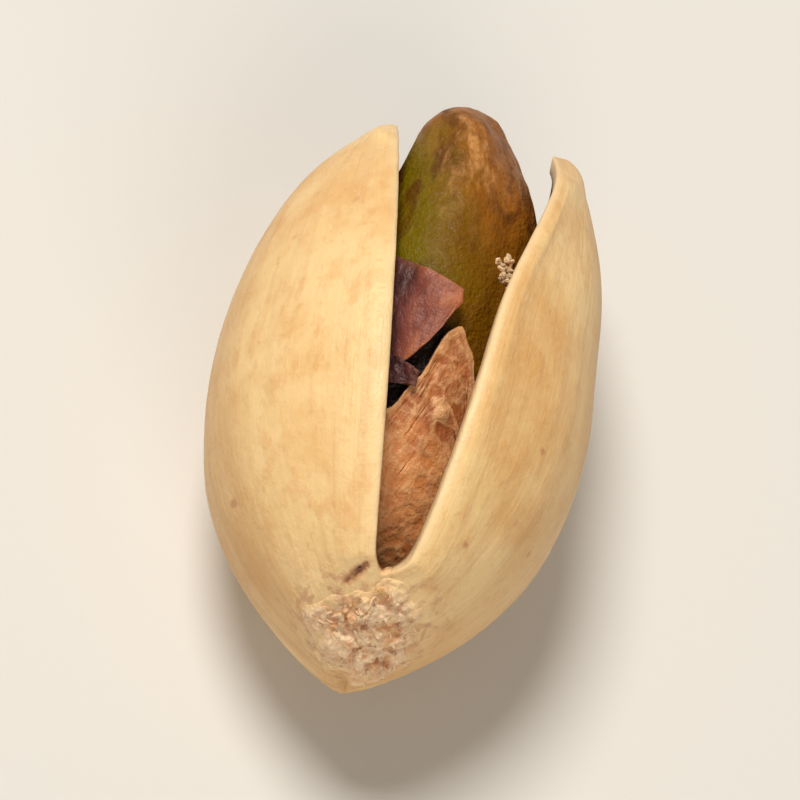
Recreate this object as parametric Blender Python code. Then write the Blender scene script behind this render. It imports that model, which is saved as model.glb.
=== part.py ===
"""A pistachio in its split shell, lying on its back with the split facing up.

The shell is one piece: two valves that stay joined over the base and along the
back, and stand apart from the stem scar up over the tip. Inside it lie the
kernel, the papery seed coat that still wraps the kernel's lower half, and a
torn scrap of that coat caught beside the left valve.

+Y runs from the stem end to the tip, +Z points out of the split, and X runs
across the two valves. Units are metres. Each shape is worked out about the
middle of the closed nut, and then moved so that the small flat on the back of
the shell lies on z = 0 with its middle at the origin.
"""

import math

import bmesh
import bpy
from mathutils import Matrix, Vector

# Driving dimensions of the closed nut, in metres
LENGTH = 0.0205
HEIGHT = 0.0130
THICKNESS = 0.0130
WALL = 0.0009
BEAK = 0.0004
BEAK_WIDTH = 0.24
SIDE_TAPER = 0.74
FRONT_TAPER = -0.06
EGG_SHARE = 0.08
BACK_EGG_SHARE = -0.06
KEEL = 0.035

# How the valves stand apart
LEFT_GAP_AT_START = 0.00030
RIGHT_GAP_AT_START = 0.00070
GAP_SLOPE = 0.155
GAP_START_REACH = 0.0004
LEFT_FLANK_SOFTNESS = 0.0064
RIGHT_FLANK_SOFTNESS = 0.0090
EDGE_SPREAD = 0.0018
RIGHT_TIP_FLARE = 0.00125
FLARE_REACH = 0.009

# Stem scar, a flattened disc on the shoulder between the base and the split
SCAR_LEAN = math.radians(24)
SCAR_DEPTH = 0.00085
SCAR_FLATNESS = 0.7

# Flat spot that the nut rests on: how deep it is pressed, and where its middle lies
REST_DEPTH = 0.00025
REST_PLACE = 0.0009

# Kernel, and how it sits in the cavity
KERNEL_LENGTH = 0.0183
KERNEL_WIDTH = 0.0090
KERNEL_HEIGHT = 0.0096
KERNEL_PLACE = Vector((0.00050, 0.0022, 0.0001))
KERNEL_PITCH = math.radians(9)
KERNEL_YAW = math.radians(-3.0)
KERNEL_FOLDS = 0.020
KERNEL_BLUNTNESS = 0.30
KERNEL_WEDGE = 0.64
KERNEL_RIGHT_FULLNESS = 0.16
KERNEL_SKEW = 0.0010

# Seed coat
COAT_CLEARANCE = 0.00025
COAT_THICKNESS = 0.00020
COAT_REACH = 0.42
TOOTH_REACH = 0.085
TOOTH_PLACE = 0.13
NOTCH_REACH = 0.045
NOTCH_PLACE = -0.50
SCRAP_START = -1.10
SCRAP_TURN = 1.19
SCRAP_TOP = 0.61
SCRAP_CURL = 0.0006

# Mesh density: rows run from base to tip, columns run round the nut
SHELL_ROWS = 34
SHELL_COLUMNS = 36
GAP_ROW = 7
BACK_ROW = 20
KERNEL_ROWS = 26
KERNEL_COLUMNS = 28
COAT_ROWS = 16
SCRAP_ROWS = 8
SCRAP_COLUMNS = 10

FINISHES = {
    "shell": ((0.78, 0.54, 0.29), 0.55),
    "kernel": ((0.24, 0.20, 0.03), 0.45),
    "skin_wrap": ((0.37, 0.14, 0.06), 0.60),
    "skin_scrap": ((0.20, 0.07, 0.07), 0.60),
}


def smooth_step(value):
    """0 below 0, 1 above 1, and an even ramp between."""
    value = min(1.0, max(0.0, value))
    return value * value * (3 - 2 * value)


def closed_shell_point(along, around):
    """A point on the closed nut.

    along runs from 0 at the base to 1 at the tip. around is 0 on the front
    suture, a quarter turn on the right flank and half a turn on the back one.
    """
    angle = math.pi * along
    base_share = (1 + math.cos(angle)) / 2
    side = max(0.0, math.sin(angle)) ** (1 + SIDE_TAPER * base_share**2) * (1 + EGG_SHARE * math.cos(angle))
    depth = max(0.0, math.sin(angle)) ** (1 + FRONT_TAPER * base_share**2)
    depth *= 1 + (EGG_SHARE if math.cos(around) > 0 else BACK_EGG_SHARE) * math.cos(angle)
    beak = BEAK * math.exp(-(((math.pi - angle) / BEAK_WIDTH) ** 2))
    keel = 1 + KEEL * math.cos(around) ** 8
    return Vector(
        (
            THICKNESS / 2 * side * math.sin(around),
            -LENGTH / 2 * math.cos(angle) + beak,
            HEIGHT / 2 * depth * math.cos(around) * keel,
        )
    )


def flatten_scar(point):
    """Presses the shoulder below the split towards the plane of the stem scar."""
    out = Vector((0.0, -math.cos(SCAR_LEAN), math.sin(SCAR_LEAN)))
    reach = math.hypot(LENGTH / 2 * out.y, HEIGHT / 2 * out.z)
    above = point.dot(out) - (reach - SCAR_DEPTH)
    return point - out * max(0.0, above) * SCAR_FLATNESS


def hinge_line():
    """A point on the line that the valves open about, and the direction away from it."""
    front = closed_shell_point(GAP_ROW / SHELL_ROWS, 0.0)
    back = closed_shell_point(BACK_ROW / SHELL_ROWS, math.pi)
    run = (back - front).normalized()
    return front, Vector((0.0, -run.z, run.y))


def opening_shift(point, side):
    """How far a point of the closed nut moves out sideways as the valves part."""
    start, away = hinge_line()
    reach = max(0.0, (point - start).dot(away))
    edge_share = math.exp(-((point.x / EDGE_SPREAD) ** 2))
    at_start, softness = (
        (RIGHT_GAP_AT_START, RIGHT_FLANK_SOFTNESS) if side > 0 else (LEFT_GAP_AT_START, LEFT_FLANK_SOFTNESS)
    )
    at_edge = at_start * (1 - math.exp(-reach / GAP_START_REACH)) + GAP_SLOPE * reach
    at_flank = GAP_SLOPE * reach * reach / (reach + softness)
    flare = smooth_step((point.y - LENGTH / 2 + FLARE_REACH) / FLARE_REACH)
    flare *= RIGHT_TIP_FLARE if side > 0 else 0.0
    return edge_share * at_edge + (1 - edge_share) * at_flank + flare


def lying_sphere(rows, columns):
    """A sphere with its poles on the Y axis, and the row and column of each of its points."""
    bm = bmesh.new()
    bmesh.ops.create_uvsphere(bm, u_segments=columns, v_segments=rows, radius=1.0)
    bmesh.ops.rotate(bm, verts=bm.verts, matrix=Matrix.Rotation(-math.pi / 2, 3, "X"))
    places = {}
    for vertex in bm.verts:
        along = math.acos(min(1.0, max(-1.0, -vertex.co.y))) / math.pi
        row = round(along * rows)
        column = round(math.atan2(vertex.co.x, vertex.co.z) * columns / (2 * math.pi))
        places[vertex] = (row, 0 if row in (0, rows) else column % columns)
    return bm, places


def part_sutures(bm, places):
    """Cuts the nut along its front suture and over the tip, and down the back one."""
    back = SHELL_COLUMNS // 2
    cuts = []
    for edge in bm.edges:
        ends = [places[vertex] for vertex in edge.verts]
        columns = {column for row, column in ends if row != SHELL_ROWS}
        first_row = min(row for row, column in ends)
        if (columns == {0} and first_row >= GAP_ROW) or (columns == {back} and first_row >= BACK_ROW):
            cuts.append(edge)
    bmesh.ops.split_edges(bm, edges=cuts)


def make_shell():
    """The outer face of both valves, and the level of its flat spot. The wall grows inwards."""
    bm, places = lying_sphere(SHELL_ROWS, SHELL_COLUMNS)
    step = 2 * math.pi / SHELL_COLUMNS
    for vertex, (row, column) in places.items():
        vertex.co = closed_shell_point(row / SHELL_ROWS, column * step)
    part_sutures(bm, places)
    sides = {}
    for vertex in bm.verts:
        middle = sum(face.calc_center_median().x for face in vertex.link_faces)
        sides[vertex] = 1 if middle > 0 else -1
    for vertex, side in sides.items():
        shift = opening_shift(vertex.co, side)
        vertex.co = flatten_scar(vertex.co)
        vertex.co.x += side * shift
    level = min(vertex.co.z for vertex in bm.verts) + REST_DEPTH
    for vertex in bm.verts:
        vertex.co.z = max(vertex.co.z, level)
    return bm, level


def kernel_point(along, around, lift=0.0):
    """A point of the kernel's surface, raised by lift. around is 0 on top, and grows to the right."""
    angle = math.pi * along
    tip_share = (1 - math.cos(angle)) / 2
    fullness = max(0.0, math.sin(angle)) ** (0.92 - KERNEL_BLUNTNESS * tip_share**3)
    folds = 1 + KERNEL_FOLDS * math.sin(angle) * (
        math.cos(5 * around + 2.0 * along) + 0.6 * math.cos(3 * around - 9.0 * along)
    )
    wedge = KERNEL_WEDGE * tip_share**3 * (1 - 0.45 * max(0.0, math.cos(around)))
    wedge *= 1 - KERNEL_RIGHT_FULLNESS * math.sin(around)
    skew = KERNEL_SKEW * tip_share**3 * ((1 + math.cos(around)) / 2) ** 2
    point = Vector(
        (
            ((KERNEL_WIDTH / 2 * folds * (1 - wedge) + lift) * math.sin(around) - skew) * fullness,
            -(KERNEL_LENGTH / 2 + lift) * math.cos(angle),
            (KERNEL_HEIGHT / 2 * folds + lift) * fullness * math.cos(around),
        )
    )
    turn = Matrix.Rotation(KERNEL_YAW, 3, "Z") @ Matrix.Rotation(KERNEL_PITCH, 3, "X")
    return turn @ point + KERNEL_PLACE


def make_kernel():
    """The kernel, one closed ovoid with shallow folds along it."""
    bm, places = lying_sphere(KERNEL_ROWS, KERNEL_COLUMNS)
    for vertex, (row, column) in places.items():
        vertex.co = kernel_point(row / KERNEL_ROWS, 2 * math.pi * column / KERNEL_COLUMNS)
    return bm


def torn_edge(around):
    """How far along the kernel the seed coat reaches, round its torn edge."""
    turn = (around + math.pi) % (2 * math.pi) - math.pi
    tooth = TOOTH_REACH * math.exp(-(((turn - TOOTH_PLACE) / 0.22) ** 2))
    notch = NOTCH_REACH * math.exp(-(((turn - NOTCH_PLACE) / 0.50) ** 2))
    return COAT_REACH + tooth - notch + 0.008 * math.sin(7 * around)


def make_skin_wrap():
    """The seed coat round the lower half of the kernel, a cup with a torn edge."""
    bm, places = lying_sphere(COAT_ROWS + 1, KERNEL_COLUMNS)
    for vertex, (row, column) in places.items():
        around = 2 * math.pi * column / KERNEL_COLUMNS
        along = torn_edge(around) * min(row, COAT_ROWS) / COAT_ROWS
        vertex.co = kernel_point(along, around, COAT_CLEARANCE)
    tip = [vertex for vertex, (row, column) in places.items() if row > COAT_ROWS]
    bmesh.ops.delete(bm, geom=tip, context="VERTS")
    return bm


def scrap_point(across, up):
    """A point of the torn scrap: across runs from under the left valve to its free corner."""
    upper = SCRAP_TOP - 0.075 * across
    lower = 0.44 - 0.06 * smooth_step(across / 0.5) + 0.14 * across**3.2
    curl = SCRAP_CURL * smooth_step((across - 0.5) / 0.5) ** 2
    around = SCRAP_START + SCRAP_TURN * across
    return kernel_point(lower + (upper - lower) * up, around, COAT_CLEARANCE + curl)


def make_skin_scrap():
    """The torn scrap of seed coat that stands off the kernel beside the left valve."""
    bm = bmesh.new()
    bmesh.ops.create_grid(bm, x_segments=SCRAP_COLUMNS, y_segments=SCRAP_ROWS, size=0.5)
    for vertex in bm.verts:
        vertex.co = scrap_point(vertex.co.x + 0.5, vertex.co.y + 0.5)
    return bm


def finish(name):
    """The plain material of a node."""
    colour, roughness = FINISHES[name]
    material = bpy.data.materials.new(name)
    material.use_nodes = True
    shader = material.node_tree.nodes["Principled BSDF"]
    shader.inputs["Base Color"].default_value = (*colour, 1.0)
    shader.inputs["Roughness"].default_value = roughness
    shader.inputs["Metallic"].default_value = 0.0
    material.diffuse_color = (*colour, 1.0)
    return material


def add_object(name, bm, level, wall=None):
    """Turns a form into a named object that rests on z = 0. A wall above 0 grows outwards."""
    mesh = bpy.data.meshes.new(name)
    bm.to_mesh(mesh)
    bm.free()
    mesh.shade_smooth()
    mesh.set_sharp_from_angle(angle=math.radians(40))
    mesh.materials.append(finish(name))
    made = bpy.data.objects.new(name, mesh)
    made.location = (0.0, -REST_PLACE, -level)
    bpy.context.scene.collection.objects.link(made)
    if wall:
        solidify = made.modifiers.new("wall", "SOLIDIFY")
        solidify.thickness = abs(wall)
        solidify.offset = 1.0 if wall > 0 else -1.0
        solidify.use_even_offset = True


def main():
    for old in list(bpy.data.objects):
        bpy.data.objects.remove(old)
    shell, level = make_shell()
    add_object("shell", shell, level, wall=-WALL)
    add_object("kernel", make_kernel(), level)
    add_object("skin_wrap", make_skin_wrap(), level, wall=COAT_THICKNESS)
    add_object("skin_scrap", make_skin_scrap(), level, wall=COAT_THICKNESS)


main()
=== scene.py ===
import math

import bmesh
import bpy
from bpy.props import FloatProperty, FloatVectorProperty, IntProperty, PointerProperty
from mathutils import Matrix, Quaternion, Vector
from mathutils.bvhtree import BVHTree


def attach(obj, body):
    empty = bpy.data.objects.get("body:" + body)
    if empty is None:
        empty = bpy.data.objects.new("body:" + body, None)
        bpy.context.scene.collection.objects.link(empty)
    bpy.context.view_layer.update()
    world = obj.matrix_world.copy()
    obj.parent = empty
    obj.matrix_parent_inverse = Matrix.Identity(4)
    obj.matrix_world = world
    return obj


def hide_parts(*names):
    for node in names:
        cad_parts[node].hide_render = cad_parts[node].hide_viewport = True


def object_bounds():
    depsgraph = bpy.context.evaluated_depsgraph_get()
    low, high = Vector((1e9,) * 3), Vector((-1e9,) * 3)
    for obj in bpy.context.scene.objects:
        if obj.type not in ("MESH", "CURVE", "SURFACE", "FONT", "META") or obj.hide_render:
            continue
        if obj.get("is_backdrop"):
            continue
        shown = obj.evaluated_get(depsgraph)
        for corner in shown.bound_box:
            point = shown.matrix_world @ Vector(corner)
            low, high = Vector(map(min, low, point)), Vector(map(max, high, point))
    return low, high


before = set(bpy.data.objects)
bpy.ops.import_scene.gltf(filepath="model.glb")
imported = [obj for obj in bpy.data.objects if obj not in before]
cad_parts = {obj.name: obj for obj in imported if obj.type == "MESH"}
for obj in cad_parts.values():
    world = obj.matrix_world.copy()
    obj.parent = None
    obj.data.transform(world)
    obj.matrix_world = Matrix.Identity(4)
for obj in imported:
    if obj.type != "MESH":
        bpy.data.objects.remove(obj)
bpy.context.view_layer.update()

# The looks of a pistachio in its split shell. Each piece is worked out from the
# same driving dimensions as the solid that it stands for, at a finer mesh, and
# then gets its relief from a node tree. +Y runs from the stem end to the tip,
# +Z points out of the split, and +X to the right valve. Units are metres.

bl_info = {
    "name": "Pistachio in shell",
    "version": (1, 0, 0),
    "blender": (4, 5, 0),
    "location": "3D View > Sidebar > Pistachio",
    "description": "Builds a pistachio in its split shell around its solid frame",
    "category": "Add Mesh",
}

# The kept height of a relief is counted in tenths of a millimetre
RELIEF_UNIT = 10000.0

# Driving dimensions of the closed nut
LENGTH = 0.0205
HEIGHT = 0.0130
THICKNESS = 0.0130
WALL = 0.0009
BEAK = 0.0004
BEAK_WIDTH = 0.24
SIDE_TAPER = 0.74
FRONT_TAPER = -0.06
EGG_SHARE = 0.08
BACK_EGG_SHARE = -0.06
KEEL = 0.035

# How the valves stand apart
LEFT_GAP_AT_START = 0.00030
RIGHT_GAP_AT_START = 0.00070
GAP_SLOPE = 0.155
GAP_START_REACH = 0.0004
LEFT_FLANK_SOFTNESS = 0.0064
RIGHT_FLANK_SOFTNESS = 0.0090
EDGE_SPREAD = 0.0018
RIGHT_TIP_FLARE = 0.00125
FLARE_REACH = 0.009
FLARE_START_REACH = 0.002
GAP_START = 7 / 34
BACK_START = 20 / 34

# Stem scar and the flat spot that the nut rests on, found as on the solid shell's own rows
SCAR_LEAN = math.radians(24)
SCAR_DEPTH = 0.00085
SCAR_FLATNESS = 0.7
REST_DEPTH = 0.00025
REST_PLACE = 0.0009
SOLID_ROWS = 34
SOLID_COLUMNS = 36

# The torn patch on the stem scar: its middle on the closed nut, and its height against its width
SCAR_MIDDLE = Vector((0.0001, -0.0091, 0.0021))
SCAR_FACING = math.radians(28)
SCAR_TALL = 1.42
SCAR_SINK = 0.00028
SCAR_RISE = 0.00012

# The longest fibre on the scar and its half thickness, as shares of the scar's size
FIBRE_LENGTH = 0.22
FIBRE_THICKNESS = 0.017

# Marks on the resting nut's shell: a short crack beside the split, small spots, and one pale spot that is a
# painted highlight, each with its radius
CRACK_START = (-0.00060, -0.00860, 0.01105)
CRACK_END = (-0.00106, -0.00908, 0.01022)
CRACK_WIDTH = 0.00020
CRACK_DEPTH = 0.00018
CRACK_BORDER = 0.00036
RED_SPOTS = [
    ((0.00458, -0.00322, 0.01123), 0.00022),
    ((0.00254, -0.00725, 0.01126), 0.00020),
    ((-0.00514, -0.00630, 0.00811), 0.00030),
]
# A painted highlight: a pale spot where light glints on the right valve
PAINTED_HIGHLIGHT_SPOT = ((0.00391, 0.00472, 0.01130), 0.00030)

# The right valve's tip, which is drawn out to a point, thinner, and open a little wider behind.
# Starts and places are shares of the way from the stem end to the tip.
TIP_OPEN_START = 0.60
TIP_OPEN_REACH = 0.25
TIP_OPEN_TURN = 0.36
TIP_THIN_START = 0.80
TIP_THIN_SHARE = 0.65
TIP_DRAW_START = 0.84
TIP_DRAW_OUT = 0.00032
TIP_DRAW_UP = 0.00032
TIP_RIM_START = 0.94
TIP_FLANK_START = 0.76
TIP_FLANK_TURN = 0.8
TIP_FLANK_SWELL = 0.00027
TIP_FLANK_PLACE = 0.87
TIP_FLANK_REACH = 0.08

# A small knob on the left valve's tip
KNOB_PLACE = (-0.00270, 0.00785, 0.00955)
KNOB_REACH = 0.00075
KNOB_HEIGHT = 0.00024

# Crumbs caught between the kernel and the right valve, and how far they spread
CRUMB_PLACES = [(0.00215, 0.00358, 0.01094), (0.00242, 0.00300, 0.01074)]
CRUMB_SPREAD = 0.00032

# The kernel's blunt shoulder, which stands up beside the left valve
SHOULDER_PLACE = (-0.0014, 0.0084, 0.0101)
SHOULDER_REACH = 0.0025
SHOULDER_HEIGHT = 0.00042

# The flat flank of the kernel's tip towards the right valve, and how far it is pressed in
FLANK_PLACE = (0.0021, 0.0085, 0.0097)
FLANK_REACH = 0.0023
FLANK_DEPTH = 0.00024

# How far the kernel's tip is blunted
TIP_PRESS = 0.00022

# How far the kernel draws back below its seed coat
COAT_ROOM = 0.00014

# Kernel, and how it sits in the cavity
KERNEL_LENGTH = 0.0183
KERNEL_WIDTH = 0.0090
KERNEL_HEIGHT = 0.0096
KERNEL_PLACE = Vector((0.00050, 0.0022, 0.0001))
KERNEL_PITCH = math.radians(9)
KERNEL_YAW = math.radians(-3.0)
KERNEL_FOLDS = 0.020
KERNEL_FULLNESS = 0.92
KERNEL_BLUNTNESS = 0.30
KERNEL_WEDGE = 0.64
KERNEL_RIGHT_FULLNESS = 0.16
KERNEL_SKEW = 0.0010

# Seed coat: how far the solids stand off the kernel, and how the finer sheets lie within them
COAT_CLEARANCE = 0.00025
COAT_LIFT = COAT_CLEARANCE * 0.6
COAT_THICKNESS = 0.00020
SHEET_THICKNESS = COAT_THICKNESS * 0.6
EDGE_LIFT = 0.00012

# The torn edge of the coat: how far along the kernel it reaches, with a tooth and a notch
COAT_REACH = 0.42
TOOTH_REACH = 0.085
TOOTH_PLACE = 0.13
TOOTH_WIDTH = 0.22
NOTCH_REACH = 0.045
NOTCH_PLACE = -0.50
NOTCH_WIDTH = 0.50

# The torn scrap, as turns round the kernel and shares along it, and the smaller scrap below it
SCRAP_START = -1.10
SCRAP_TURN = 1.19
SCRAP_TOP = 0.61
SCRAP_TOP_FALL = 0.075
SCRAP_BOTTOM = 0.44
SCRAP_SAG = 0.06
SCRAP_CORNER_RISE = 0.14
SCRAP_CURL = 0.0006
SMALL_SCRAP_START = -0.62
SMALL_SCRAP_TURN = 0.54
SMALL_SCRAP_BOTTOM = 0.405
SMALL_SCRAP_HEIGHT = 0.045

# A small lump on the coat, and how many veins its skin has over a metre
BUMP_PLACE = (0.00096, -0.00233, 0.01090)
BUMP_RADIUS = 0.00045
VEIN_SCALE = 1700.0

# The rims of the valves: how far from the split they start to round over, how far round
# they are marked as broken edge, and the rows over which they grow in
RIM_TURN = 0.030
RIM_MARK_REACH = 0.10
RIM_GROWTH_ROWS = 8

# Mesh density: rows run from the stem end to the tip, columns run round
SHELL_ROWS = 238
OUTER_COLUMNS = 112
INNER_COLUMNS = 48
RIM_STEPS = 7
KERNEL_ROWS = 200
KERNEL_COLUMNS = 160
WRAP_ROWS = 120
WRAP_COLUMNS = 200
SCRAP_ROWS = 70
SCRAP_COLUMNS = 80
SCAR_RINGS = 70
SCAR_SPOKES = 150
SCAR_BED_ROWS = 70
SCAR_BED_COLUMNS = 120

# Points closer than this are joined
WELD_DISTANCE = 1e-7

# Stage: the floor's half width, the places, widths and warm colours of the two lights, and the
# width of the camera's sensor in millimetres
FLOOR_REACH = 2.0
KEY_PLACE = (-0.14, 0.16, 0.49)
KEY_WIDTH = 0.20
KEY_COLOUR = (1.0, 0.95, 0.87)
SOFT_PLACE = (0.14, -0.46, 0.36)
SOFT_WIDTH = 0.36
SOFT_COLOUR = (1.0, 0.92, 0.80)
SENSOR_WIDTH = 36.0


def from_display_values(red, green, blue):
    """A colour given as 0 to 255 display values, as the linear values that Blender's colours hold."""
    shares = [value / 255 for value in (red, green, blue)]
    return tuple(s / 12.92 if s <= 0.04045 else ((s + 0.055) / 1.055) ** 2.4 for s in shares)


def colour_property(name, description, red, green, blue):
    """A colour that the user can change."""
    return FloatVectorProperty(
        name=name,
        description=description,
        subtype="COLOR",
        size=3,
        min=0.0,
        max=1.0,
        default=from_display_values(red, green, blue),
    )


def length_property(name, description, default):
    """A length that the user can change."""
    return FloatProperty(
        name=name, description=description, default=default, min=0.0, precision=5, unit="LENGTH"
    )


def angle_property(name, description, degrees):
    """An angle that the user can change."""
    return FloatProperty(name=name, description=description, default=math.radians(degrees), subtype="ANGLE")


def power_property(name, description, default):
    """A light's power that the user can change."""
    return FloatProperty(name=name, description=description, default=default, min=0.0, unit="POWER")


class ShellLook(bpy.types.PropertyGroup):
    """Relief and colours of the two valves."""

    swell_depth: length_property("Swells", "Depth of the broad unevenness of the shell", 0.00010)
    rib_depth: length_property("Ribs", "Depth of the low ribs that run from stem to tip", 0.00017)
    streak_depth: length_property("Streaks", "Depth of the fine streaks between the ribs", 0.00002)
    wrinkle_depth: length_property("Wrinkles", "Depth of the wrinkles round the stem scar", 0.00008)
    cream: colour_property("Cream", "Lightest colour of the shell", 247, 212, 153)
    tan: colour_property("Tan", "Darker patches of the shell", 230, 180, 114)
    # The streak colour also paints shade on the shell's flanks
    streak: colour_property("Streak", "Thin streaks along the shell, and painted shade on its flanks", 205, 152, 88)
    freckle: colour_property("Freckle", "Orange mottling of the shell", 224, 160, 92)
    spot: colour_property("Spot", "Small reddish spots and the skin round the scar", 176, 92, 56)
    crack_core: colour_property("Crack core", "Deep part of a crack", 78, 30, 14)
    # Along the broken edges the rim colour is partly a painted highlight
    rim: colour_property("Rim", "Broken edge of the shell wall, partly a painted highlight", 250, 220, 172)
    lining: colour_property("Lining", "Inside of the shell", 186, 146, 104)
    lining_dark: colour_property("Dark lining", "Blotches on the inside of the shell", 128, 88, 56)


class ScarLook(bpy.types.PropertyGroup):
    """The stem scar and its fibres."""

    size: length_property("Size", "Half the width of the stem scar", 0.0021)
    crinkle_depth: length_property("Crinkles", "Depth of the scar's crinkles", 0.00011)
    fibre_count: IntProperty(
        name="Fibres", description="How many torn fibres lie on the scar", default=20, min=0
    )
    pale: colour_property("Pale", "Torn white fibres, and a partly painted highlight on the scar's ridges", 255, 223, 184)
    pink: colour_property("Pink", "Pinkish body of the scar", 246, 180, 128)
    crevice: colour_property("Crevice", "Deep parts of the scar, partly painted shade in its crevices", 160, 84, 46)


class KernelLook(bpy.types.PropertyGroup):
    """Relief and colours of the kernel."""

    fold_depth: length_property("Folds", "Depth of the folds along the kernel", 0.00024)
    facet_depth: length_property("Facets", "Height of the blunt ridges between the kernel's facets", 0.00030)
    dent_depth: length_property("Dents", "Depth of the small dents", 0.00010)
    pore_depth: length_property("Pores", "Depth of the finest roughness", 0.00003)
    green: colour_property("Green", "Fresh green of the kernel", 116, 98, 0)
    olive: colour_property("Olive", "Yellow-brown olive parts", 118, 76, 0)
    gold: colour_property("Gold", "Golden brown, roasted parts", 152, 90, 18)
    brown: colour_property("Brown", "Darkest roasted parts, and painted shade on the kernel's sides", 90, 48, 4)
    # The pink tan is partly remains of skin and partly painted glints on the kernel's crest
    glint: colour_property("Pink tan", "Pinkish remains of skin, and painted glints on the kernel's crest", 206, 146, 86)
    shade: colour_property("Shade", "Painted shade in the crevice below the coat's scrap", 34, 20, 12)
    crumb: colour_property("Crumb", "Crumbs caught on the kernel", 244, 212, 168)
    crumb_size: length_property("Crumb size", "Radius of the largest crumb", 0.00022)
    crumb_count: IntProperty(name="Crumbs", description="How many crumbs are caught", default=16, min=0)


class CoatLook(bpy.types.PropertyGroup):
    """Relief and colours of the papery seed coat."""

    vein_height: length_property("Veins", "Height of the veins of the seed coat", 0.00004)
    wrinkle_depth: length_property("Wrinkles", "Depth of the seed coat's wrinkles", 0.00017)
    fold_depth: length_property("Folds", "Depth of the folds of the torn scrap", 0.00030)
    skin: colour_property("Skin", "Main colour of the seed coat", 220, 140, 80)
    skin_dark: colour_property("Dark skin", "Darker, redder parts", 168, 94, 48)
    # The vein colour also paints glints on the coat's raised wrinkles
    vein: colour_property("Vein", "Pale veins, and painted glints on raised wrinkles", 250, 196, 136)
    purple: colour_property("Purple", "Purple-brown of the torn scrap", 128, 68, 58)
    purple_dark: colour_property("Dark purple", "Darkest part of the scrap, mostly painted shade", 54, 22, 28)
    edge: colour_property("Torn edge", "Pinkish torn edge of the scrap, partly a painted highlight", 188, 112, 72)


class StageLook(bpy.types.PropertyGroup):
    """Floor, lights and camera."""

    floor: colour_property("Floor", "Plain pale floor", 222, 221, 219)
    key_power: power_property("Key light", "Power of the main light", 2.5)
    fill_power: power_property("Fill light", "Power of the soft fill", 1.0)
    sky_strength: FloatProperty(name="Sky", description="Strength of the light from all round", default=0.22)
    elevation: angle_property("Elevation", "Camera above the horizon", 64.4)
    azimuth: angle_property("Azimuth", "Camera round the nut", -13.6)
    lean: angle_property("Lean", "Lean of the nut in the picture", 10.5)
    lens: FloatProperty(name="Lens", description="Focal length in millimetres", default=325.0)
    distance: FloatProperty(
        name="Distance", description="Camera to the nut", default=0.25, unit="LENGTH", precision=4
    )


# Shapes shared with the solids


def smooth_step(value):
    """0 below 0, 1 above 1, and an even ramp between."""
    value = min(1.0, max(0.0, value))
    return value * value * (3 - 2 * value)


def bell(value, middle, width):
    """1 at the middle, and fading to 0 over about twice the width."""
    return math.exp(-(((value - middle) / width) ** 2))


def nut_point(along, around, inset=0.0):
    """A point on the closed nut, or on the same form with its walls moved in by inset."""
    angle = math.pi * along
    base_share = (1 + math.cos(angle)) / 2
    side = max(0.0, math.sin(angle)) ** (1 + SIDE_TAPER * base_share**2) * (1 + EGG_SHARE * math.cos(angle))
    depth = max(0.0, math.sin(angle)) ** (1 + FRONT_TAPER * base_share**2)
    depth *= 1 + (EGG_SHARE if math.cos(around) > 0 else BACK_EGG_SHARE) * math.cos(angle)
    beak = 0.0 if inset else BEAK * bell(angle, math.pi, BEAK_WIDTH)
    keel = 1 + KEEL * math.cos(around) ** 8
    return Vector(
        (
            (THICKNESS / 2 - inset) * side * math.sin(around),
            -(LENGTH / 2 - inset) * math.cos(angle) + beak,
            (HEIGHT / 2 - inset) * depth * math.cos(around) * keel,
        )
    )


def flatten_scar(point):
    """Presses the shoulder below the split towards the plane of the stem scar."""
    out = Vector((0.0, -math.cos(SCAR_LEAN), math.sin(SCAR_LEAN)))
    reach = math.hypot(LENGTH / 2 * out.y, HEIGHT / 2 * out.z)
    above = point.dot(out) - (reach - SCAR_DEPTH)
    return point - out * max(0.0, above) * SCAR_FLATNESS


def hinge_line():
    """A point on the line that the valves open about, and the direction away from it."""
    front = nut_point(GAP_START, 0.0)
    back = nut_point(BACK_START, math.pi)
    run = (back - front).normalized()
    return front, Vector((0.0, -run.z, run.y))


HINGE, HINGE_AWAY = hinge_line()


def opening_shift(point, side):
    """How far a point of the closed nut moves out sideways as the valves part."""
    reach = max(0.0, (point - HINGE).dot(HINGE_AWAY))
    edge_share = bell(point.x, 0.0, EDGE_SPREAD)
    at_start, softness = (
        (RIGHT_GAP_AT_START, RIGHT_FLANK_SOFTNESS) if side > 0 else (LEFT_GAP_AT_START, LEFT_FLANK_SOFTNESS)
    )
    at_edge = at_start * (1 - math.exp(-reach / GAP_START_REACH)) + GAP_SLOPE * reach
    at_flank = GAP_SLOPE * reach * reach / (reach + softness)
    flare = smooth_step((point.y - LENGTH / 2 + FLARE_REACH) / FLARE_REACH)
    flare *= RIGHT_TIP_FLARE * smooth_step(reach / FLARE_START_REACH) if side > 0 else 0.0
    return edge_share * at_edge + (1 - edge_share) * at_flank + flare


def resting_level():
    """How far below the middle of the closed nut its flat spot lies, as the solid shell has it."""
    lowest = min(
        flatten_scar(nut_point(row / SOLID_ROWS, 2 * math.pi * column / SOLID_COLUMNS)).z
        for row in range(SOLID_ROWS + 1)
        for column in range(SOLID_COLUMNS)
    )
    return lowest + REST_DEPTH


LEVEL = resting_level()
REST_MOVE = Vector((0.0, -REST_PLACE, -LEVEL))


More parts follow.
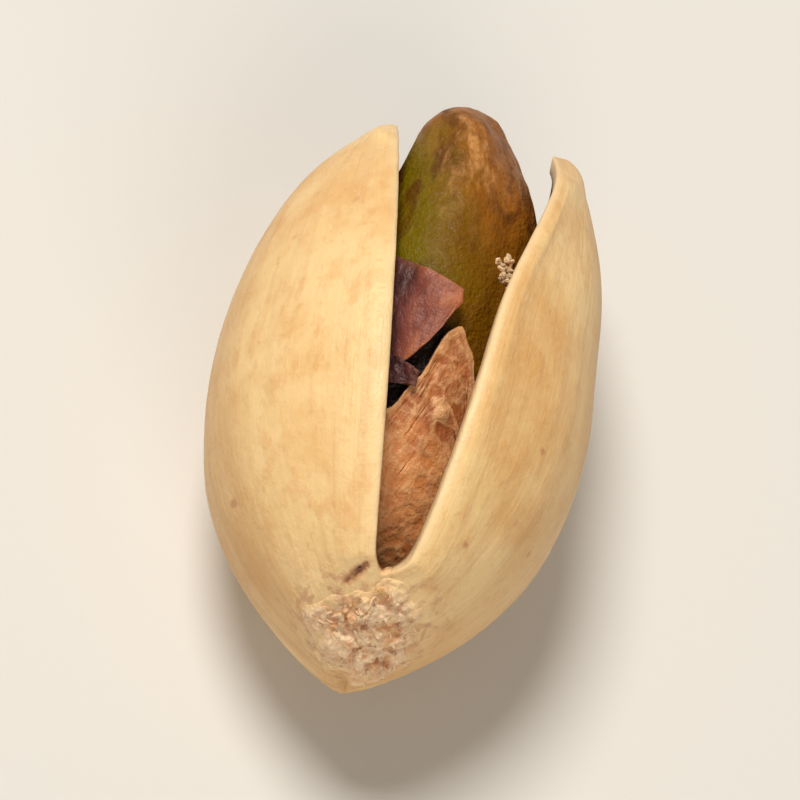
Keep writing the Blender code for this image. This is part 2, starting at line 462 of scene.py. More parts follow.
def kernel_point(along, around, lift=0.0):
    """A point of the kernel's surface, raised by lift, where the nut rests. around is 0 on top."""
    angle = math.pi * along
    tip_share = (1 - math.cos(angle)) / 2
    fullness = max(0.0, math.sin(angle)) ** (KERNEL_FULLNESS - KERNEL_BLUNTNESS * tip_share**3)
    folds = 1 + KERNEL_FOLDS * math.sin(angle) * (
        math.cos(5 * around + 2.0 * along) + 0.6 * math.cos(3 * around - 9.0 * along)
    )
    wedge = KERNEL_WEDGE * tip_share**3 * (1 - 0.45 * max(0.0, math.cos(around)))
    wedge *= 1 - KERNEL_RIGHT_FULLNESS * math.sin(around)
    skew = KERNEL_SKEW * tip_share**3 * ((1 + math.cos(around)) / 2) ** 2
    point = Vector(
        (
            ((KERNEL_WIDTH / 2 * folds * (1 - wedge) + lift) * math.sin(around) - skew) * fullness,
            -(KERNEL_LENGTH / 2 + lift) * math.cos(angle),
            (KERNEL_HEIGHT / 2 * folds + lift) * fullness * math.cos(around),
        )
    )
    turn = Matrix.Rotation(KERNEL_YAW, 3, "Z") @ Matrix.Rotation(KERNEL_PITCH, 3, "X")
    return turn @ point + KERNEL_PLACE + REST_MOVE


def torn_edge(around):
    """How far along the kernel the seed coat reaches, round its torn edge."""
    turn = (around + math.pi) % (2 * math.pi) - math.pi
    tooth = TOOTH_REACH * bell(turn, TOOTH_PLACE, TOOTH_WIDTH)
    notch = NOTCH_REACH * bell(turn, NOTCH_PLACE, NOTCH_WIDTH)
    return COAT_REACH + tooth - notch + 0.008 * math.sin(7 * around)


def scrap_point(across, up):
    """A point of the torn scrap: across runs from under the left valve to its free corner."""
    upper = SCRAP_TOP - SCRAP_TOP_FALL * across
    lower = SCRAP_BOTTOM - SCRAP_SAG * smooth_step(across / 0.5) + SCRAP_CORNER_RISE * across**3.2
    curl = SCRAP_CURL * smooth_step((across - 0.5) / 0.5) ** 2
    around = SCRAP_START + SCRAP_TURN * across
    return kernel_point(lower + (upper - lower) * up, around, COAT_CLEARANCE + curl)


# Meshes


def grid_faces(rows, columns, ring=False):
    """Corner numbers of the faces of a grid of points kept row by row."""
    across = columns if ring else columns - 1
    return [
        (
            row * columns + column,
            row * columns + (column + 1) % columns,
            (row + 1) * columns + (column + 1) % columns,
            (row + 1) * columns + column,
        )
        for row in range(rows - 1)
        for column in range(across)
    ]


def new_object(name, points, faces, attributes=None):
    """An object with its place in its mesh. attributes maps a name to one number or vector a point."""
    mesh = bpy.data.meshes.new(name)
    mesh.from_pydata(points, [], faces)
    for label, values in (attributes or {}).items():
        is_vector = isinstance(values[0], (tuple, Vector))
        made = mesh.attributes.new(label, "FLOAT_VECTOR" if is_vector else "FLOAT", "POINT")
        if is_vector:
            made.data.foreach_set("vector", [part for value in values for part in value])
        else:
            made.data.foreach_set("value", values)
    weld(mesh)
    made = bpy.data.objects.new(name, mesh)
    bpy.context.scene.collection.objects.link(made)
    return made


def weld(mesh):
    """Joins points that coincide, drops what collapses, and points every face outwards."""
    bm = bmesh.new()
    bm.from_mesh(mesh)
    bmesh.ops.remove_doubles(bm, verts=bm.verts, dist=WELD_DISTANCE)
    bmesh.ops.dissolve_degenerate(bm, dist=WELD_DISTANCE, edges=bm.edges)
    bmesh.ops.recalc_face_normals(bm, faces=bm.faces)
    bm.to_mesh(mesh)
    bm.free()
    mesh.shade_smooth()


def grain_value(along, around):
    """The place of a point in the grain, which has no seam: two shares round the nut and one along it."""
    return (math.sin(around), math.cos(around), along)


def rounded(row, start):
    """How far the rounding of a rim has grown in, a few rows past the start of its gap."""
    return smooth_step((row - start * SHELL_ROWS) / RIM_GROWTH_ROWS)


def ragged_turn(along, side):
    """How far round from the split a rim starts to round over, with small uneven waves."""
    slow = 0.007 * math.sin(47 * along + side) * math.sin(29 * along)
    return RIM_TURN + slow + 0.005 * math.sin(113 * along)


def towards_tip(along, start):
    """Grows from 0 at a place along the nut to 1 at its tip."""
    return smooth_step((along - start) / (1 - start))


def even_steps(first, last, count):
    """Evenly spaced numbers from the first to the last."""
    return [first + (last - first) * step / count for step in range(count + 1)]


def valve_ring(row, side):
    """One cross-section of a valve: outer face, back rim, inner face and front rim, as points and marks."""
    along = row / SHELL_ROWS
    right = max(0, side)
    first = ragged_turn(along, side) * rounded(row, GAP_START)
    whole = math.pi - ragged_turn(along, side) * rounded(row, BACK_START)
    opened = TIP_OPEN_TURN * smooth_step((along - TIP_OPEN_START) / TIP_OPEN_REACH) * right
    last = whole - opened
    wall = WALL * (1 - TIP_THIN_SHARE * towards_tip(along, TIP_THIN_START) * right)
    drawn_up = TIP_DRAW_UP * towards_tip(along, TIP_DRAW_START) * right
    ring = []

    def place(closed, reference, around, outside, edge):
        """Moves a point of the closed valve to where it stands in the open one, and keeps it."""
        on_flank = smooth_step(around / TIP_FLANK_TURN)
        start = TIP_RIM_START + (TIP_FLANK_START - TIP_RIM_START) * on_flank
        swell = TIP_FLANK_SWELL * on_flank * bell(along, TIP_FLANK_PLACE, TIP_FLANK_REACH)
        drawn_out = (TIP_DRAW_OUT * towards_tip(along, start) + swell) * right
        across = side * (abs(closed.x) + opening_shift(reference, side)) + drawn_out
        point = Vector((across, closed.y + drawn_up, closed.z)) + REST_MOVE
        point.z = max(point.z, 0.0)
        ring.append((point, grain_value(along, side * around), outside, edge))

    def edge_share(around):
        """1 at a broken rim, and fading to 0 away from it."""
        front = rounded(row, GAP_START) * math.exp(-(around / RIM_MARK_REACH))
        back = rounded(row, BACK_START) * math.exp(-((math.pi - opened - around) / RIM_MARK_REACH))
        return front + back

    def rim(around, unopened, backwards):
        """The rounded rim between the outer and the inner face."""
        bulge = nut_point(along, unopened).x
        outer = nut_point(along, around)
        inner = nut_point(along, around, wall)
        pressed = flatten_scar(outer)
        for step in range(1, RIM_STEPS):
            turn = math.pi * step / RIM_STEPS
            share = (1 - math.cos(turn)) / 2
            share = 1 - share if backwards else share
            point = pressed.lerp(inner, share)
            point.x = max(0.0, point.x - bulge * math.sin(turn) ** 0.5)
            place(point, outer, around, 1 - share, 1.0)

    for around in even_steps(first, last, OUTER_COLUMNS):
        outer = nut_point(along, around)
        place(flatten_scar(outer), outer, around, 1.0, edge_share(around))
    rim(last, whole, False)
    for around in even_steps(last, first, INNER_COLUMNS):
        place(nut_point(along, around, wall), nut_point(along, around), around, 0.0, edge_share(around))
    rim(first, first, True)
    return ring


def make_shell_object():
    """Both valves as one closed body, joined over the base and along the lower back."""
    count = OUTER_COLUMNS + INNER_COLUMNS + 2 * RIM_STEPS
    points, grain, outside, edge, faces = [], [], [], [], []
    for side in (1, -1):
        offset = len(points)
        for row in range(SHELL_ROWS + 1):
            for point, place, out, near in valve_ring(row, side):
                points.append(point)
                grain.append(place)
                outside.append(out)
                edge.append(near)
        for face in grid_faces(SHELL_ROWS + 1, count, ring=True):
            row, column = divmod(face[0], count)
            in_back_rim = OUTER_COLUMNS <= column < OUTER_COLUMNS + RIM_STEPS
            in_front_rim = column >= count - RIM_STEPS
            if in_back_rim and row < round(BACK_START * SHELL_ROWS):
                continue
            if in_front_rim and row < round(GAP_START * SHELL_ROWS):
                continue
            faces.append([corner + offset for corner in face])
    return new_object("shell_valves", points, faces, {"grain": grain, "outside": outside, "edge": edge})


def closed_nut_tree():
    """The outer face of the stem half of the closed nut, to drop points onto."""
    points = []
    for row in range(SCAR_BED_ROWS + 1):
        for column in range(SCAR_BED_COLUMNS):
            closed = nut_point(0.5 * row / SCAR_BED_ROWS, 2 * math.pi * column / SCAR_BED_COLUMNS)
            points.append(flatten_scar(closed) + REST_MOVE)
    return BVHTree.FromPolygons(points, grid_faces(SCAR_BED_ROWS + 1, SCAR_BED_COLUMNS, ring=True))


def make_scar_object(size):
    """The torn, crinkled patch on the stem scar, a closed pad sunk into the shell."""
    across = Vector((1.0, 0.0, 0.0))
    out = Vector((0.0, -math.cos(SCAR_FACING), math.sin(SCAR_FACING)))
    up = Vector((0.0, math.sin(SCAR_FACING), math.cos(SCAR_FACING)))
    shell = closed_nut_tree()
    start = SCAR_MIDDLE + REST_MOVE + out * size * 3
    top, sunk, rim = [], [], []
    for ring in range(SCAR_RINGS + 1):
        share = ring / SCAR_RINGS
        rise = SCAR_RISE * smooth_step((1 - share) / 0.25) - SCAR_RISE * smooth_step((share - 0.9) / 0.1)
        for spoke in range(SCAR_SPOKES):
            turn = 2 * math.pi * spoke / SCAR_SPOKES
            lobes = 1 + 0.09 * math.sin(3 * turn + 0.6) + 0.06 * math.sin(7 * turn)
            lobes += 0.04 * math.sin(12 * turn + 2)
            beside_crack = 1 - 0.20 * bell(turn, 2 * math.pi - 0.62, 0.42)
            reach = size * share * lobes * beside_crack * (1 - 0.20 * max(0.0, math.cos(turn)) ** 3)
            ray = start + across * reach * math.sin(turn)
            ray += up * reach * SCAR_TALL * math.cos(turn)
            hit, normal, _, _ = shell.ray_cast(ray, -out)
            top.append(hit + normal * rise)
            sunk.append(hit + normal * rise - normal * SCAR_SINK)
            rim.append(share)
    count = len(top)
    faces = grid_faces(SCAR_RINGS + 1, SCAR_SPOKES, ring=True)
    faces += [tuple(corner + count for corner in reversed(face)) for face in faces]
    for spoke in range(SCAR_SPOKES):
        here = SCAR_RINGS * SCAR_SPOKES + spoke
        beyond = SCAR_RINGS * SCAR_SPOKES + (spoke + 1) % SCAR_SPOKES
        faces.append((here, beyond, beyond + count, here + count))
    marks = {"rim": rim * 2, "top": [1.0] * count + [0.0] * count}
    return new_object("stem_scar", top + sunk, faces, marks)


def make_kernel_object():
    """The kernel as one closed body."""
    points, grain = [], []
    for row in range(KERNEL_ROWS + 1):
        for column in range(KERNEL_COLUMNS):
            around = 2 * math.pi * column / KERNEL_COLUMNS
            along = row / KERNEL_ROWS
            points.append(kernel_point(along, around))
            girth = math.sin(math.pi * along) ** 0.5
            grain.append((girth * math.sin(around), girth * math.cos(around), along))
    faces = grid_faces(KERNEL_ROWS + 1, KERNEL_COLUMNS, ring=True)
    return new_object("kernel_seed", points, faces, {"grain": grain})


def ragged(around, coarse, fine):
    """Small even teeth of a torn edge."""
    return coarse * math.sin(17 * around + 1.3) * math.sin(11 * around) + fine * math.sin(43 * around + 0.7)


def make_wrap_object():
    """The seed coat round the stem half of the kernel, with a torn and slightly lifted edge."""
    points, grain, torn = [], [], []
    for row in range(WRAP_ROWS + 1):
        share = row / WRAP_ROWS
        near_edge = math.exp(-(1 - share) / 0.05)
        for column in range(WRAP_COLUMNS):
            around = 2 * math.pi * column / WRAP_COLUMNS
            reach = torn_edge(around) + ragged(around, 0.006, 0.003)
            points.append(kernel_point(reach * share, around, COAT_LIFT + EDGE_LIFT * near_edge))
            grain.append(grain_value(reach * share, around))
            torn.append(near_edge)
    faces = grid_faces(WRAP_ROWS + 1, WRAP_COLUMNS, ring=True)
    return new_object("seed_coat_wrap", points, faces, {"grain": grain, "torn": torn})


def small_scrap_point(across, up):
    """A point of the smaller scrap, which lies in the crevice below the larger one and is painted dark as the
    crevice's shade.
    """
    around = SMALL_SCRAP_START + SMALL_SCRAP_TURN * across
    lower = SMALL_SCRAP_BOTTOM + 0.012 * across
    upper = lower + SMALL_SCRAP_HEIGHT - 0.030 * across**2
    return kernel_point(lower + (upper - lower) * up, around, COAT_CLEARANCE * 1.6 + 0.0002 * across)


def make_scrap_object():
    """The torn scrap that stands off the kernel beside the left valve, and a smaller one below it."""
    points, grain, torn, faces = [], [], [], []
    # The third grain share marks the smaller scrap, which its material darkens as painted shade
    for place_of, dark in ((scrap_point, 0.0), (small_scrap_point, 1.0)):
        offset = len(points)
        for row in range(SCRAP_ROWS + 1):
            for column in range(SCRAP_COLUMNS + 1):
                across = column / SCRAP_COLUMNS
                up = row / SCRAP_ROWS
                wave = 0.030 * math.sin(8 * across + 1) * up + 0.025 * math.sin(11 * across) * (1 - up)
                points.append(place_of(across, up + wave * (1 - across**4)))
                grain.append((across, up, dark))
                ends = (math.exp(-(1 - across) / 0.10), math.exp(-(1 - up) / 0.08), math.exp(-up / 0.08))
                torn.append(max(ends))
        for face in grid_faces(SCRAP_ROWS + 1, SCRAP_COLUMNS + 1):
            faces.append([corner + offset for corner in face])
    return new_object("seed_coat_scrap", points, faces, {"grain": grain, "torn": torn})


# Nodes


def add_node(tree, kind, inputs=None, **settings):
    """Adds a node. inputs maps a socket's name or number to a value or to the output that feeds it."""
    made = tree.nodes.new(kind)
    for name, value in settings.items():
        setattr(made, name, value)
    for key, value in (inputs or {}).items():
        if isinstance(value, bpy.types.NodeSocket):
            tree.links.new(value, made.inputs[key])
        else:
            made.inputs[key].default_value = value
    return made


def maths(tree, operation, first, second=0.0):
    """One sum on two numbers."""
    return add_node(tree, "ShaderNodeMath", {0: first, 1: second}, operation=operation).outputs[0]


def total(tree, *values):
    """The sum of several numbers."""
    result = values[0]
    for value in values[1:]:
        result = maths(tree, "ADD", result, value)
    return result


def product(tree, *values):
    """The product of several numbers."""
    result = values[0]
    for value in values[1:]:
        result = maths(tree, "MULTIPLY", result, value)
    return result


def ramp(tree, value, low, high, to_low=0.0, to_high=1.0):
    """An even S-shaped ramp from to_low to to_high as the value goes from low to high."""
    inputs = {"Value": value, "From Min": low, "From Max": high, "To Min": to_low, "To Max": to_high}
    return add_node(tree, "ShaderNodeMapRange", inputs, interpolation_type="SMOOTHSTEP").outputs["Result"]


def vector_maths(tree, operation, inputs, output="Vector"):
    """One sum on vectors."""
    return add_node(tree, "ShaderNodeVectorMath", inputs, operation=operation).outputs[output]


def scaled(tree, vector, sizes, shift=(0.0, 0.0, 0.0)):
    """A coordinate stretched by a factor along each axis, and moved to another part of a pattern."""
    return vector_maths(tree, "MULTIPLY_ADD", {0: vector, 1: sizes, 2: shift})


def parted(tree, vector):
    """The three parts of a vector."""
    return add_node(tree, "ShaderNodeSeparateXYZ", {0: vector}).outputs


def noise_vector(tree, place, scale, detail=2.0):
    """Three soft random patterns between 0 and 1, as one vector."""
    inputs = {"Vector": place, "Scale": scale, "Detail": detail}
    return add_node(tree, "ShaderNodeTexNoise", inputs).outputs["Color"]


def noise(tree, vector, scale, detail=3.0, roughness=0.5, distortion=0.0):
    """Soft random patches between 0 and 1."""
    inputs = {"Vector": vector, "Scale": scale, "Detail": detail}
    inputs.update({"Roughness": roughness, "Distortion": distortion})
    return add_node(tree, "ShaderNodeTexNoise", inputs).outputs[0]


def around_zero(tree, value, size):
    """A 0 to 1 pattern as a height that goes as far below 0 as above it."""
    return maths(tree, "MULTIPLY", maths(tree, "SUBTRACT", value, 0.5), size)


def cells(tree, vector, scale, feature="F1", randomness=1.0):
    """Distance in a pattern of random cells."""
    inputs = {"Vector": vector, "Scale": scale, "Randomness": randomness}
    return add_node(tree, "ShaderNodeTexVoronoi", inputs, feature=feature).outputs["Distance"]


def vein_share(tree, place, scale):
    """1 on a net of veins that wander over a surface, and 0 between them."""
    bend = noise_vector(tree, place, scale * 0.8)
    pushed = scaled(tree, bend, (0.9 / scale, 0.9 / scale, 0.9 / scale), place)
    return ramp(tree, cells(tree, pushed, scale, "DISTANCE_TO_EDGE"), 0.02, 0.16, 1.0, 0.0)


def distance_from(tree, place, spot):
    """Distance of a point from a fixed spot on the nut."""
    return vector_maths(tree, "DISTANCE", {0: place, 1: spot}, "Value")


def distance_from_line(tree, place, start, end):
    """Distance of a point from a short straight line on the nut."""
    run = Vector(end) - Vector(start)
    apart = vector_maths(tree, "SUBTRACT", {0: place, 1: start})
    share = vector_maths(tree, "DOT_PRODUCT", {0: apart, 1: tuple(run / run.length_squared)}, "Value")
    share = add_node(tree, "ShaderNodeClamp", {"Value": share}).outputs[0]
    along = vector_maths(tree, "SCALE", {0: tuple(run), "Scale": share})
    return vector_maths(tree, "DISTANCE", {0: apart, 1: along}, "Value")


def spot_share(tree, place, spot, radius):
    """1 at a fixed spot on the nut, and 0 beyond its ragged radius."""
    wobble = around_zero(tree, noise(tree, place, 4000.0, 2.0), radius * 1.4)
    distance = total(tree, distance_from(tree, place, spot), wobble)
    return ramp(tree, distance, radius * 0.25, radius, 1.0, 0.0)


def crack_share(tree, place, width):
    """1 in the crack beside the split, and 0 beyond its width."""
    wander = noise_vector(tree, place, 4200.0)
    pushed = scaled(tree, wander, (0.0002, 0.0002, 0.0002), (-0.0001, -0.0001, -0.0001))
    pushed = vector_maths(tree, "ADD", {0: place, 1: pushed})
    middle = (Vector(CRACK_START) + Vector(CRACK_END)) / 2
    taper = product(tree, distance_from(tree, place, tuple(middle)), 0.20)
    distance = total(tree, distance_from_line(tree, pushed, CRACK_START, CRACK_END), taper)
    return ramp(tree, distance, width * 0.35, width, 1.0, 0.0)


def start_tree(name, lengths, others=()):
    """A geometry tree with its inputs: lengths by name, others as pairs of name and kind, and a material."""
    tree = bpy.data.node_groups.new(name, "GeometryNodeTree")
    kinds = [("Geometry", "Geometry"), *((label, "Float") for label in lengths), *others]
    for label, kind in [*kinds, ("Material", "Material")]:
        socket = tree.interface.new_socket(label, in_out="INPUT", socket_type="NodeSocket" + kind)
        if label in lengths:
            socket.subtype = "DISTANCE"
    tree.interface.new_socket("Geometry", in_out="OUTPUT", socket_type="NodeSocketGeometry")
    return tree, tree.nodes.new("NodeGroupInput").outputs


def position(tree):
    """The place of a point, read in a geometry tree."""
    return tree.nodes.new("GeometryNodeInputPosition").outputs[0]


def relief_tree(name, lengths, height_of):
    """A geometry tree that raises a surface along its normals by a height, and gives it its material.

    height_of gets the tree and the outputs of its named inputs, and returns the height.
    """
    tree, given = start_tree(name, lengths)
    normal = tree.nodes.new("GeometryNodeInputNormal").outputs[0]
    height = height_of(tree, given)
    offset = vector_maths(tree, "SCALE", {0: normal, "Scale": height})
    kept_height = product(tree, height, RELIEF_UNIT)
    inputs = {"Geometry": given["Geometry"], "Name": "height", "Value": kept_height}
    settings = {"data_type": "FLOAT", "domain": "POINT"}
    noted = add_node(tree, "GeometryNodeStoreNamedAttribute", inputs, **settings).outputs[0]
    moved = add_node(tree, "GeometryNodeSetPosition", {"Geometry": noted, "Offset": offset})
    end_tree(tree, above_floor(tree, moved.outputs[0]), given["Material"])
    return tree


def above_floor(tree, geometry):
    """Lifts what fell below the floor back onto it, so that the flat spot stays flat."""
    lowest = (-1.0, -1.0, 0.0)
    lifted = vector_maths(tree, "MAXIMUM", {0: position(tree), 1: lowest})
    return add_node(tree, "GeometryNodeSetPosition", {"Geometry": geometry, "Position": lifted}).outputs[0]


def end_tree(tree, geometry, material):
    """Realises instances, sets the material and joins the group's output."""
    real = add_node(tree, "GeometryNodeRealizeInstances", {"Geometry": geometry}).outputs[0]
    done = add_node(tree, "GeometryNodeSetMaterial", {"Geometry": real, "Material": material}).outputs[0]
    add_node(tree, "NodeGroupOutput", {"Geometry": done})


def named(tree, name, kind="FLOAT"):
    """A value kept on the points of a mesh, read in a geometry tree."""
    made = add_node(tree, "GeometryNodeInputNamedAttribute", {"Name": name}, data_type=kind)
    return made.outputs["Attribute"]


def run_tree(made, tree, values):
    """Adds a tree to an object with its inputs set by the names of its sockets."""
    modifier = made.modifiers.new(tree.name, "NODES")
    modifier.node_group = tree
    for item in tree.interface.items_tree:
        if item.in_out == "INPUT" and item.name in values:
            modifier[item.identifier] = values[item.name]


def dress(made, name, height_of, depths, material):
    """Raises a piece's relief, with its depths given by name, and gives the piece its material."""
    run_tree(made, relief_tree(name, depths, height_of), {**depths, "Material": material})


def copy_of(made, name):
    """A copy of a finished mesh, for what grows on it or lies on it."""
    copied = bpy.data.objects.new(name, made.data.copy())
    bpy.context.scene.collection.objects.link(copied)
    return copied


def plain_mesh(made):
    """Turns an object with modifiers into one plain mesh, and removes its modifiers."""
    graph = bpy.context.evaluated_depsgraph_get()
    mesh = bpy.data.meshes.new_from_object(made.evaluated_get(graph), depsgraph=graph)
    made.modifiers.clear()
    old = made.data
    made.data = mesh
    bpy.data.meshes.remove(old)
    mesh.name = made.name
    return made


def finish_piece(made, node):
    """Says which body a piece rides on, and hides the solid that it stands for."""
    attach(made, "root")
    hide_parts(node)


# Relief


def shell_height(tree, given):
    """Broad swells, ribs and streaks that follow the grain, and wrinkles near the stem scar."""
    place = position(tree)
    grain = named(tree, "grain", "FLOAT_VECTOR")
    across, _, along = parted(tree, grain)
    swells = around_zero(tree, noise(tree, place, 160.0, 1.0), given["Swells"])
    right = ramp(tree, across, -0.2, 0.6, 0.55, 1.0)
    ribs = around_zero(tree, noise(tree, scaled(tree, grain, (3.4, 3.4, 2.0)), 1.0, 2.0), given["Ribs"])
    streaks = noise(tree, scaled(tree, grain, (11.0, 11.0, 4.0)), 1.0, 2.0)
    streaks = around_zero(tree, streaks, given["Streaks"])
    near_scar = ramp(tree, along, 0.10, 0.34, 1.0, 0.0)
    wrinkles = noise(tree, scaled(tree, grain, (6.0, 6.0, 14.0)), 1.0, 3.0)
    wrinkles = product(tree, around_zero(tree, wrinkles, given["Wrinkles"]), near_scar)
    height = total(tree, swells, product(tree, ribs, right), streaks, wrinkles)
    dents = around_zero(tree, noise(tree, place, 700.0, 3.0), product(tree, given["Streaks"], 1.6))
    knob = ramp(tree, distance_from(tree, place, KNOB_PLACE), 0.0, KNOB_REACH, KNOB_HEIGHT, 0.0)
    height = total(tree, height, dents, knob)
    height = total(tree, height, product(tree, crack_share(tree, place, CRACK_WIDTH), -CRACK_DEPTH))
    keep = product(tree, named(tree, "outside"), ramp(tree, named(tree, "edge"), 0.25, 0.95, 1.0, 0.4))
    at_poles = product(tree, ramp(tree, along, 0.0, 0.05), ramp(tree, along, 0.95, 1.0, 1.0, 0.0))
    return product(tree, height, keep, at_poles)


def creases(tree, place, scale, width=0.10):
    """1 on thin lines that wander over a surface, and 0 between them."""
    level = noise(tree, place, scale, 3.0, 0.55, 0.6)
    apart = maths(tree, "ABSOLUTE", maths(tree, "SUBTRACT", level, 0.5))
    return ramp(tree, apart, 0.0, width, 1.0, 0.0)


def scar_ridges(tree, place):
    """The torn ridges of the stem scar."""
    wide = creases(tree, scaled(tree, place, (1.0, 1.0, 0.8)), 800.0, 0.09)
    narrow = creases(tree, scaled(tree, place, (1.0, 1.0, 1.2), (0.002, 0.0, 0.001)), 1900.0, 0.10)
    return total(tree, wide, product(tree, narrow, 0.6))


def scar_crevices(tree, place):
    """The deep, dark lines between the ridges of the stem scar."""
    return creases(tree, scaled(tree, place, (1.0, 1.0, 1.0), (0.005, 0.002, 0.0)), 700.0, 0.055)


def scar_height(tree, given):
    """Torn ridges, crevices and crumpled lumps on the stem scar."""
    place = position(tree)
    grit = noise(tree, place, 4200.0, 3.0, 0.65)
    lumps = noise(tree, place, 1500.0, 3.0, 0.6)
    height = total(
        tree,
        product(tree, scar_ridges(tree, place), given["Crinkles"], 0.8),
        product(tree, scar_crevices(tree, place), given["Crinkles"], -1.0),
        around_zero(tree, lumps, product(tree, given["Crinkles"], 1.2)),
        around_zero(tree, grit, product(tree, given["Crinkles"], 0.5)),
    )
    keep = product(tree, named(tree, "top"), ramp(tree, named(tree, "rim"), 0.60, 0.96, 1.0, 0.0))
    return product(tree, height, keep)


def scattered_points(tree, given, chosen):
    """Random points on the chosen faces, by the tree's density and seed."""
    inputs = {"Mesh": given["Geometry"], "Selection": chosen}
    inputs.update({"Density": given["Density"], "Seed": given["Seed"]})
    return add_node(tree, "GeometryNodeDistributePointsOnFaces", inputs).outputs


def random_vector(tree, low, high, seed):
    """A random vector for each point, between two vectors."""
    inputs = {0: low, 1: high, "Seed": seed}
    return add_node(tree, "FunctionNodeRandomValue", inputs, data_type="FLOAT_VECTOR").outputs[0]


def copies(tree, points, shape, rotation, scale):
    """A shape placed, turned and sized at every point."""
    inputs = {"Points": points, "Instance": shape, "Rotation": rotation, "Scale": scale}
    return add_node(tree, "GeometryNodeInstanceOnPoints", inputs).outputs[0]


def sliver(tree, given):
    """One bent fibre, pointed at both ends and as long as 1, as it is sized where it is placed."""
    ends = {"Start": (-0.5, 0.0, 0.0), "Middle": (0.05, 0.22, 0.10), "End": (0.5, 0.0, -0.02)}
    arc = add_node(tree, "GeometryNodeCurveQuadraticBezier", {**ends, "Resolution": 7}).outputs[0]
    share = add_node(tree, "GeometryNodeSplineParameter").outputs["Factor"]
    taper = maths(tree, "SINE", maths(tree, "MULTIPLY", share, math.pi))
    taper = total(tree, product(tree, taper, 0.92), 0.04)
    tapered = add_node(tree, "GeometryNodeSetCurveRadius", {"Curve": arc, "Radius": taper}).outputs[0]
    inputs = {"Resolution": 5, "Radius": maths(tree, "DIVIDE", given["Thickness"], given["Length"])}
    profile = add_node(tree, "GeometryNodeCurvePrimitiveCircle", inputs).outputs[0]
    inputs = {"Curve": tapered, "Profile Curve": profile, "Fill Caps": True}
    return add_node(tree, "GeometryNodeCurveToMesh", inputs).outputs[0]


def fibre_tree():
    """Short torn fibres that lie on the stem scar, each a bent, pointed sliver."""
    tree, given = start_tree("Scar fibres", ["Length", "Thickness"], [("Density", "Float"), ("Seed", "Int")])
    facing_out = maths(tree, "GREATER_THAN", named(tree, "top"), 0.5)
    within = maths(tree, "LESS_THAN", named(tree, "rim"), 0.94)
    spots = scattered_points(tree, given, product(tree, facing_out, within))
    turn = random_vector(tree, (-0.15, -0.15, 0.0), (0.15, 0.15, 2 * math.pi), 3)
    inputs = {"Rotation": spots["Rotation"], "Rotate By": turn}
    turned = add_node(tree, "FunctionNodeRotateRotation", inputs, rotation_space="LOCAL").outputs[0]
    inputs = {2: 0.45, 3: 1.0, "Seed": 5}
    size = add_node(tree, "FunctionNodeRandomValue", inputs, data_type="FLOAT").outputs[1]
    size = product(tree, size, given["Length"])
    placed = copies(tree, spots["Points"], sliver(tree, given), turned, size)
    end_tree(tree, placed, given["Material"])
    return tree


def kernel_height(tree, given):
    """Blunt facets and folds along the kernel, dents between them and fine pores."""
    place = position(tree)
    grain = named(tree, "grain", "FLOAT_VECTOR")
    across, _, along = parted(tree, grain)
    crest = ramp(tree, maths(tree, "ABSOLUTE", across), 0.0, 0.45, 1.0, 0.0)
    facets = cells(tree, scaled(tree, place, (1.0, 0.75, 1.0), (0.0021, 0.0008, 0.0)), 330.0, "F1", 0.85)
    near_tip = ramp(tree, along, 0.55, 0.85, 0.25, 1.0)
    folds = noise(tree, scaled(tree, grain, (2.1, 2.1, 2.6)), 1.0, 3.0, 0.5, 0.4)
    dents = noise(tree, place, 900.0, 3.0, 0.55)
    pores = noise(tree, place, 3200.0, 2.0)
    height = total(
        tree,
        product(tree, around_zero(tree, facets, given["Facets"]), near_tip),
        product(tree, crest, given["Facets"], near_tip, ramp(tree, along, 0.78, 0.90, 1.0, 0.0)),
        around_zero(tree, folds, given["Folds"]),
        product(tree, around_zero(tree, dents, given["Dents"]), total(tree, near_tip, 0.1)),
        around_zero(tree, pores, given["Pores"]),
        ramp(tree, distance_from(tree, place, SHOULDER_PLACE), 0.0, SHOULDER_REACH, SHOULDER_HEIGHT, 0.0),
        ramp(tree, distance_from(tree, place, FLANK_PLACE), 0.0, FLANK_REACH, -FLANK_DEPTH, 0.0),
        ramp(tree, along, 0.42, 0.54, -COAT_ROOM, 0.0),
        ramp(tree, along, 0.80, 0.92, 0.0, -TIP_PRESS),
    )
    return product(tree, height, ramp(tree, along, 0.0, 0.04))


def crumb_tree():
    """Small rough crumbs gathered round two places on the kernel."""
    tree, given = start_tree("Crumbs", ["Spread", "Size"], [("Density", "Float"), ("Seed", "Int")])
    place = position(tree)
    near = [distance_from(tree, place, spot) for spot in CRUMB_PLACES]
    chosen = maths(tree, "LESS_THAN", maths(tree, "MINIMUM", near[0], near[1]), given["Spread"])
    spots = scattered_points(tree, given, chosen)
    crumb = add_node(tree, "GeometryNodeMeshIcoSphere", {"Radius": 1.0, "Subdivisions": 2}).outputs[0]
    turn = random_vector(tree, (0.0, 0.0, 0.0), (math.pi, math.pi, 2 * math.pi), 3)
    stretch = random_vector(tree, (0.40, 0.35, 0.30), (1.15, 1.0, 0.8), 5)
    size = vector_maths(tree, "SCALE", {0: stretch, "Scale": given["Size"]})
    placed = copies(tree, spots["Points"], crumb, turn, size)
    real = add_node(tree, "GeometryNodeRealizeInstances", {"Geometry": placed}).outputs[0]
    wobble = vector_maths(tree, "SUBTRACT", {0: noise_vector(tree, place, 4500.0), 1: (0.5, 0.5, 0.5)})
    wobble = vector_maths(tree, "SCALE", {0: wobble, "Scale": product(tree, given["Size"], 1.1)})
    rough = add_node(tree, "GeometryNodeSetPosition", {"Geometry": real, "Offset": wobble}).outputs[0]
    end_tree(tree, rough, given["Material"])
    return tree


